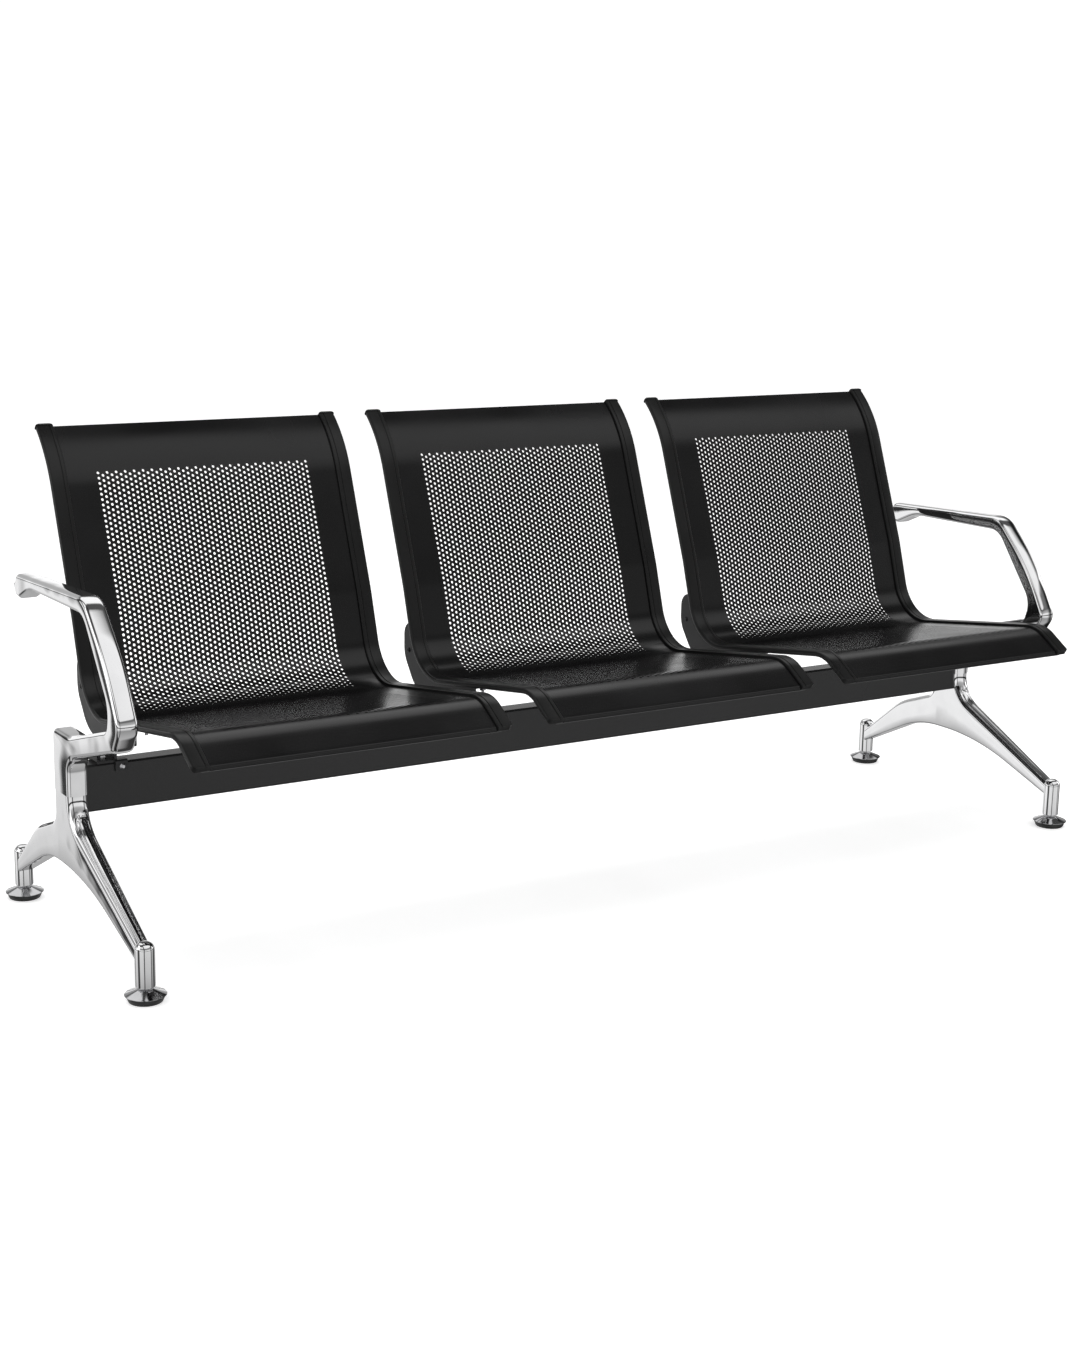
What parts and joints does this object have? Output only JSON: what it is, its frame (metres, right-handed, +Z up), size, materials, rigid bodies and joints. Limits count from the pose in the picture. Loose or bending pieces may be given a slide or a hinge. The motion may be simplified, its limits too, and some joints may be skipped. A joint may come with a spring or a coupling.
{
  "type": "beam seating",
  "caption": "Waiting-area bench with perforated bent-steel seats on a black tube between polished cast end frames with armrests and levelling glides.",
  "frame": {"origin": "on the floor, under the middle of the bench's overall width and depth", "axes": "+X along the beam to the right as seen from the front, -Y to the front, +Z up"},
  "size_m": [1.903, 0.6402, 0.7925],
  "materials": {
    "seat_sheet": "semi-gloss powder coat",
    "edge_trim": "satin",
    "trim_cap": "satin",
    "beam_paint": "satin powder coat",
    "bracket_steel": "satin grey",
    "rivet_black": "satin",
    "zinc_steel": "bright zinc",
    "polished_casting": "mirror polished",
    "glide_chrome": "polished",
    "glide_rubber": "matte",
    "glide_steel": "bright zinc"
  },
  "bodies": {
    "bench": {"beam": "beam_paint", "leg_left": "polished_casting", "armrest_left": "polished_casting", "arm_bolt_left": "zinc_steel", "spigot_screws_left": "zinc_steel", "leg_right": "polished_casting", "armrest_right": "polished_casting", "arm_bolt_right": "zinc_steel", "spigot_screws_right": "zinc_steel", "seat_1_shell": "seat_sheet", "seat_1_trim_left": "edge_trim", "seat_1_cap_left": "trim_cap", "seat_1_bracket_left": "bracket_steel", "seat_1_rivets_left": "rivet_black", "seat_1_bolts_left": "zinc_steel", "seat_1_trim_right": "edge_trim", "seat_1_cap_right": "trim_cap", "seat_1_bracket_right": "bracket_steel", "seat_1_rivets_right": "rivet_black", "seat_1_bolts_right": "zinc_steel", "seat_2_shell": "seat_sheet", "seat_2_trim_left": "edge_trim", "seat_2_cap_left": "trim_cap", "seat_2_bracket_left": "bracket_steel", "seat_2_rivets_left": "rivet_black", "seat_2_bolts_left": "zinc_steel", "seat_2_trim_right": "edge_trim", "seat_2_cap_right": "trim_cap", "seat_2_bracket_right": "bracket_steel", "seat_2_rivets_right": "rivet_black", "seat_2_bolts_right": "zinc_steel", "seat_3_shell": "seat_sheet", "seat_3_trim_left": "edge_trim", "seat_3_cap_left": "trim_cap", "seat_3_bracket_left": "bracket_steel", "seat_3_rivets_left": "rivet_black", "seat_3_bolts_left": "zinc_steel", "seat_3_trim_right": "edge_trim", "seat_3_cap_right": "trim_cap", "seat_3_bracket_right": "bracket_steel", "seat_3_rivets_right": "rivet_black", "seat_3_bolts_right": "zinc_steel"},
    "glide_front_left_foot": {"glide_front_left_disc": "glide_chrome", "glide_front_left_rubber": "glide_rubber"},
    "glide_front_left_screw": {"glide_front_left_stud": "glide_steel"},
    "glide_rear_left_foot": {"glide_rear_left_disc": "glide_chrome", "glide_rear_left_rubber": "glide_rubber"},
    "glide_rear_left_screw": {"glide_rear_left_stud": "glide_steel"},
    "glide_front_right_foot": {"glide_front_right_disc": "glide_chrome", "glide_front_right_rubber": "glide_rubber"},
    "glide_front_right_screw": {"glide_front_right_stud": "glide_steel"},
    "glide_rear_right_foot": {"glide_rear_right_disc": "glide_chrome", "glide_rear_right_rubber": "glide_rubber"},
    "glide_rear_right_screw": {"glide_rear_right_stud": "glide_steel"}
  },
  "joints": [
    {"name": "glide_front_left_height", "type": "slide", "parent": "bench", "child": "glide_front_left_foot", "axis": [0, 0, -1], "range_m": [0, 0.012]},
    {"name": "glide_front_left_turn", "type": "hinge", "parent": "glide_front_left_foot", "child": "glide_front_left_screw", "pos_m": [-0.92, -0.2514, 0.03], "axis": [0, 0, -1], "range_deg": [0, 2880]},
    {"name": "glide_rear_left_height", "type": "slide", "parent": "bench", "child": "glide_rear_left_foot", "axis": [0, 0, -1], "range_m": [0, 0.012]},
    {"name": "glide_rear_left_turn", "type": "hinge", "parent": "glide_rear_left_foot", "child": "glide_rear_left_screw", "pos_m": [-0.92, 0.2886, 0.03], "axis": [0, 0, -1], "range_deg": [0, 2880]},
    {"name": "glide_front_right_height", "type": "slide", "parent": "bench", "child": "glide_front_right_foot", "axis": [0, 0, -1], "range_m": [0, 0.012]},
    {"name": "glide_front_right_turn", "type": "hinge", "parent": "glide_front_right_foot", "child": "glide_front_right_screw", "pos_m": [0.92, -0.2514, 0.03], "axis": [0, 0, -1], "range_deg": [0, 2880]},
    {"name": "glide_rear_right_height", "type": "slide", "parent": "bench", "child": "glide_rear_right_foot", "axis": [0, 0, -1], "range_m": [0, 0.012]},
    {"name": "glide_rear_right_turn", "type": "hinge", "parent": "glide_rear_right_foot", "child": "glide_rear_right_screw", "pos_m": [0.92, 0.2886, 0.03], "axis": [0, 0, -1], "range_deg": [0, 2880]}
  ],
  "couplings": [
    {"joint": "glide_front_left_turn", "follows": "glide_front_left_height", "rad_per_m": 4188.8},
    {"joint": "glide_rear_left_turn", "follows": "glide_rear_left_height", "rad_per_m": 4188.8},
    {"joint": "glide_front_right_turn", "follows": "glide_front_right_height", "rad_per_m": 4188.8},
    {"joint": "glide_rear_right_turn", "follows": "glide_rear_right_height", "rad_per_m": 4188.8}
  ]
}
